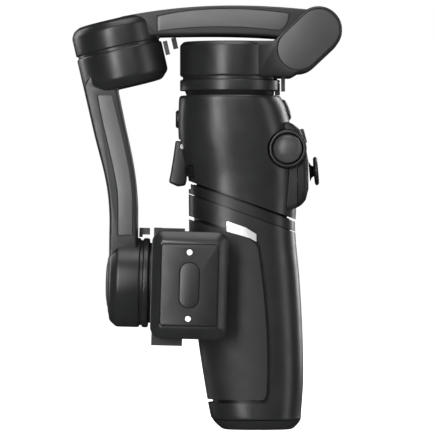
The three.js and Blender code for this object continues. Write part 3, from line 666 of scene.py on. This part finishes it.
def make_buttons():
    lever = [(-18.6, 123.2), (-23.4, 123.8)]
    lever += bezier(lever[-1], (-24.6, 114), (-26.3, 105.8), steps=14)
    lever += [(-22.6, 104.1), (-19.2, 104.5), (-18.6, 107)]
    show(cut(slab(lever, -6, 6, 0.9, steps=4), bar("y", 1.4, -20, 20, TRIGGER_PLACE)), "trigger")
    face = at(-18, 133) @ Matrix.Rotation(-RIGHT_ANGLE, 4, "Y")
    dished = [(0, 0), (3.85, 0), (3.85, 4.7), (3.2, 5.4), (1.8, 5.2), (0, 5.05)]
    show(turned(dished, face, ROUND, 0.3), "front_button")
    domed = [(0, -5), (4.8, -5), (4.8, 0.7), (4, 1.7), (2, 2.1), (0, 2.2)]
    show(turned(domed, POWER @ Z_TO_X, ROUND, 0.5), "power_button")
    shutter = block((-2.6, 1.3), (-4.9, 4.9), (-3.2, 3.2), SHUTTER, 0.7)
    show(shutter, "shutter_button")


# ---- pan motor ----
def make_pan():
    ring = turned([
        (0, HOUSING_TOP - 0.1), (18.6, HOUSING_TOP - 0.1), (19.4, 145.2), (PAN_RADIUS, 145.2),
        (PAN_RADIUS, PAN_RING_TOP - 0.4), (PAN_RADIUS - 0.4, PAN_RING_TOP), (0, PAN_RING_TOP),
    ], sides=128, soften=0.25)
    cut(ring, bar("z", 17.2, 147, 160, sides=ROUND), bar("z", 8.3, 140, 160),
        block((18.9, 30), (-4.4, 4.4), (142, 149)),
        bar("z", PAN_RADIUS - 0.8, PAN_RING_TOP - 0.9, 160, sides=ROUND))
    show(ring, "pan_base_ring")

    disc = turned([
        (0, PAN_HEAD_BOTTOM), (PAN_RADIUS - 0.6, PAN_HEAD_BOTTOM), (PAN_RADIUS, PAN_HEAD_BOTTOM + 0.6),
        (PAN_RADIUS, PAN_HEAD_TOP - 1.6), (PAN_RADIUS - 1.6, PAN_HEAD_TOP), (0, PAN_HEAD_TOP),
    ], sides=128, soften=0.5)
    bridge = [(6, PAN_HEAD_BOTTOM), (26, 150.8), (33, 155), (33, 172), (24.5, 171.8)]
    bridge += bezier(bridge[-1], (20.4, 168.6), (18.8, PAN_HEAD_TOP), steps=8) + [(6, PAN_HEAD_TOP)]
    knuckle = slab(knuckle_outline(KNUCKLE_RADIUS), -CLEVIS_OUTER, CLEVIS_OUTER, 0.9, steps=4)
    floor_z = HINGE[1] - TONGUE_RADIUS - 1
    arm_path = [
        (12, PAN_HEAD_TOP - 0.2), (20, PAN_HEAD_TOP - 0.2), (31, 163.2), (HINGE[0], floor_z),
        (FAR, floor_z), (FAR, 190), (12, 190),
    ]
    spigot = bar("z", PAN_RADIUS - 1.2, PAN_RING_TOP - 0.5, PAN_HEAD_BOTTOM + 1, sides=ROUND)
    arm = join(disc, slab(bridge, -CLEVIS_OUTER, CLEVIS_OUTER, 0.9, steps=3), knuckle, spigot)
    cut(
        arm, slab(arm_path, -CLEVIS_INNER, CLEVIS_INNER),
        bar("y", TONGUE_RADIUS + 1, -CLEVIS_INNER, CLEVIS_INNER, HINGE_PLACE, ROUND),
        bar("z", 16.6, 140, 161, sides=ROUND), block((21.6, 24), (-4, 4), (150, 155.4)),
        slab(knuckle_outline(COVER_RADIUS + GAP), -CLEVIS_OUTER - 1, -CLEVIS_OUTER + 1),
        slab(knuckle_outline(COVER_RADIUS + GAP), CLEVIS_OUTER - 1, CLEVIS_OUTER + 1),
        bar("y", 2.9, -15.6, 15.6, HINGE_PLACE))
    show(arm, "pan_arm")
    outline = knuckle_outline(COVER_RADIUS)
    show(slab(outline, -CLEVIS_OUTER, -CLEVIS_OUTER + 0.7, 0.3), "hinge_cover_front")
    show(slab(outline, CLEVIS_OUTER - 0.7, CLEVIS_OUTER, 0.3), "hinge_cover_rear")


def knuckle_outline(radius):
    along = math.atan2(HINGE[1] - HINGE_LOWER[1], HINGE[0] - HINGE_LOWER[0])
    upper = arc(HINGE, radius, along - RIGHT_ANGLE, along + RIGHT_ANGLE, 28)
    return upper + arc(HINGE_LOWER, radius, along + RIGHT_ANGLE, along + 3 * RIGHT_ANGLE, 28)


# ---- folding arm ----
def strip_outline(grow):
    left, right = -31 - grow, 25 + grow
    points = [(25, 177.9 + grow)]
    points += bezier(points[0], (5, 181 + grow), (-17, 180.4 + grow), (left, 176.6 + grow), steps=24)
    points.append((left, 170.4 - grow))
    points += bezier(points[-1], (-17, 173 - grow), (5, 173 - grow), (21, 170.8 - grow), steps=24)
    points += bezier(points[-1], (right, 172.6), (right, 177.9), steps=8)
    return points


def make_fold_arm():
    points = arc(HINGE, TONGUE_RADIUS, -RIGHT_ANGLE, RIGHT_ANGLE, 24)
    points += bezier(points[-1], (8, 182.6), (-18, 182.4), (-46, 176.8), steps=32)
    points += [(-54, 174.2), (-46, 166), (-31, 168.4)]
    points += bezier(points[-1], (-18, 168.6), (2, 169.2), (21, 167.6), steps=24)
    arm = slab(points, -ARM_HALF_WIDTH, ARM_HALF_WIDTH, 1.2, steps=4)
    cap = turned([
        (0, SEAM_HALF), (ROLL_RADIUS, SEAM_HALF), (ROLL_RADIUS, ROLL_UPPER - 3.8),
        (ROLL_RADIUS - 1.4, ROLL_UPPER - 1.4), (ROLL_RADIUS - 4, ROLL_UPPER), (0, ROLL_UPPER),
    ], ROLL, 128, 0.8)
    join(arm, cap, bar("z", ROLL_RADIUS - 0.8, -1.1, SEAM_HALF + 1, ROLL, ROUND))
    cut(
        arm, bar("z", ROLL_BORE, -3, 9, ROLL, ROUND), bar("y", 2.9, -20, 20, HINGE_PLACE),
        slab(strip_outline(GAP), -ARM_HALF_WIDTH - 1, -ARM_HALF_WIDTH + 0.9))
    show(arm, "fold_arm_shell")
    strip = slab(strip_outline(0), -ARM_HALF_WIDTH - STRIP_RISE, -ARM_HALF_WIDTH + 0.6, 0.15)
    show(strip, "fold_arm_strip")


# ---- roll arm with the tilt motor ----
def arm_strip_outline(grow):
    left, right = -47.8 - grow, -41.8 + grow
    points = [(-56.6 - grow, 143)]
    points += bezier(points[0], (-53.8 - grow, 126), (-48.3 - grow, 110), (left, 98), steps=20)
    points += [(left, 83.4 - grow), (right, 83.4 - grow), (right, 98)]
    points += bezier(points[-1], (-42.2 + grow, 110), (-45.6 + grow, 123), (-50.4 + grow, 143), steps=20)
    return points


def make_roll_arm():
    points = [(-62.9, 147), (-58.6, 128.4)]
    points += bezier(points[-1], (-55, 113), (-51.7, 106), (-51.6, 89), steps=20)
    points += [(-52, 64), (-39.6, 64), (-39.6, 95)]
    points += bezier(points[-1], (-40, 106), (-41.4, 115), (-44.6, 128.4), steps=20)
    points += [(-48.2, 146), (-44, 151), (-60, 152)]
    arm = slab(points, -ARM_HALF_WIDTH, ARM_HALF_WIDTH, 1.2, steps=4)
    motor = turned([
        (0, -ROLL_LOWER), (ROLL_RADIUS - 3.4, -ROLL_LOWER), (ROLL_RADIUS, -ROLL_LOWER + 3.4),
        (ROLL_RADIUS, -SEAM_HALF), (0, -SEAM_HALF),
    ], ROLL, 128, 1.2)
    tilt_motor = turned([
        (0, -TILT_LENGTH - 0.4), (12.4, -TILT_LENGTH - 0.4), (14, -TILT_LENGTH),
        (TILT_RADIUS - 2.6, -TILT_LENGTH + 0.4), (TILT_RADIUS, -TILT_LENGTH + 3.4),
        (TILT_RADIUS, -SEAM_HALF), (0, -SEAM_HALF),
    ], TILT @ Z_TO_X, 128, 1.0)
    join(arm, motor, tilt_motor)
    cut(
        arm, bar("z", ROLL_BORE, -12, 1, ROLL, ROUND), bar("x", 16, -11.4, 2, TILT, ROUND),
        bar("z", ROLL_RADIUS - 0.4, -1.5, 2, ROLL, ROUND), bar("x", TILT_RADIUS - 0.5, -1.6, 2, TILT, ROUND),
        bar("x", 12, -30, -TILT_LENGTH + 0.6, TILT, ROUND),
        slab(arm_strip_outline(GAP), -ARM_HALF_WIDTH - 1, -ARM_HALF_WIDTH + 0.9),
        block((-5.2, 2), (-3.9, 3.9), (TILT_RADIUS + 0.1, TILT_RADIUS + 5), TILT))
    show(arm, "roll_arm_shell")
    strip = slab(arm_strip_outline(0), -ARM_HALF_WIDTH - STRIP_RISE, -ARM_HALF_WIDTH + 0.6, 0.15)
    show(strip, "roll_arm_strip")
    end_cap = turned([
        (0, -TILT_LENGTH - 1.6), (6, -TILT_LENGTH - 1.4), (10.6, -TILT_LENGTH - 0.7),
        (11.6, -TILT_LENGTH + 0.2), (0, -TILT_LENGTH + 0.2),
    ], TILT @ Z_TO_X, ROUND, 0.8)
    show(end_cap, "tilt_end_cap")


# ---- phone mount ----
def make_mount():
    ring = turned([
        (0, 0.5), (TILT_RADIUS - 0.5, 0.5), (TILT_RADIUS, 1), (TILT_RADIUS, 2.8), (TILT_RADIUS - 0.5, 3.3),
        (17.2, 3.3), (17.2, 4.7), (0, 4.7),
    ], TILT @ Z_TO_X, 128, 0.3)
    join(ring, cut(bar("x", TILT_RADIUS - 0.9, -1.2, 1, TILT, ROUND), bar("x", 15.8, -2, 0.7, TILT, ROUND)))
    show(ring, "tilt_rotor_ring")

    def centred(width, height, radius, y0, y1, bevel=0.0):
        return slab(rounded_rect(width, height, radius, MOUNT_CENTRE), y0, y1, bevel, TILT)

    width, height = 32.4, 45.6
    body = mount_pillow(width, height)
    cut(
        body, centred(24.6, 35, 1.8, MOUNT_FRONT - 1, MOUNT_FRONT + 0.9),
        centred(22, 33, 2, MOUNT_FRONT + 3, MOUNT_BACK + 5),
        centred(24.4, 35.4, 2, MOUNT_BACK - 1.6, MOUNT_BACK + 5))
    show(body, "mount_housing")
    face = centred(23.9, 34.3, 1.5, MOUNT_FRONT - 0.9, MOUNT_FRONT + 0.5, 0.25)
    cut(face, centred(8.8, 19.8, 4.3, MOUNT_FRONT - 5, MOUNT_FRONT + 0.2))
    for z in CONTACT_HEIGHTS.values():
        cut(face, bar("y", 1.6, -FAR, 0, TILT @ at(CONTACT_X, z)))
    show(face, "mount_face_plate")
    show(centred(8.1, 19.1, 4, MOUNT_FRONT - 1.1, MOUNT_FRONT - 0.2, 0.2), "mount_key")
    for node, z in CONTACT_HEIGHTS.items():
        place = TILT @ Matrix.Translation((CONTACT_X, MOUNT_FRONT + 0.5, z)) @ Z_TO_MINUS_Y
        show(turned([(0, 0), (1.25, 0), (1.25, 1.4), (0.9, 1.65), (0, 1.7)], place, SMALL_ROUND, 0.15), node)


def mount_pillow(width, height):
    """The mount's body: a rounded block whose front and back slope in at the rim."""
    rings = [(MOUNT_FRONT, 4.0), (MOUNT_FRONT + 0.4, 3.3), (MOUNT_FRONT + 2.2, 0.35),
             (MOUNT_FRONT + 2.8, 0), (MOUNT_BACK - 2.8, 0), (MOUNT_BACK - 2.2, 0.35),
             (MOUNT_BACK - 0.4, 3.3), (MOUNT_BACK, 4.0)]
    points = []
    for y, inset in rings:
        outline = rounded_rect(width - 2 * inset, height - 2 * inset, 5 - inset * 0.8, MOUNT_CENTRE)
        points += [(x, y, z) for x, z in outline]
    sides = len(points) // len(rings)
    faces = ring_faces(len(rings), sides)
    faces.append(list(range(sides)))
    faces.append([(len(rings) - 1) * sides + side for side in range(sides)][::-1])
    return mesh_object("pillow", points, faces, TILT)


make_stage()
make_grip()
make_housing()
make_console()
make_buttons()
make_pan()
make_fold_arm()
make_roll_arm()
make_mount()
for node, cad_object in frame["nodes"].items():
    cad_object.data.materials.clear()
    cad_object.data.materials.append(FINISHES[NODE_SLOT[node]])
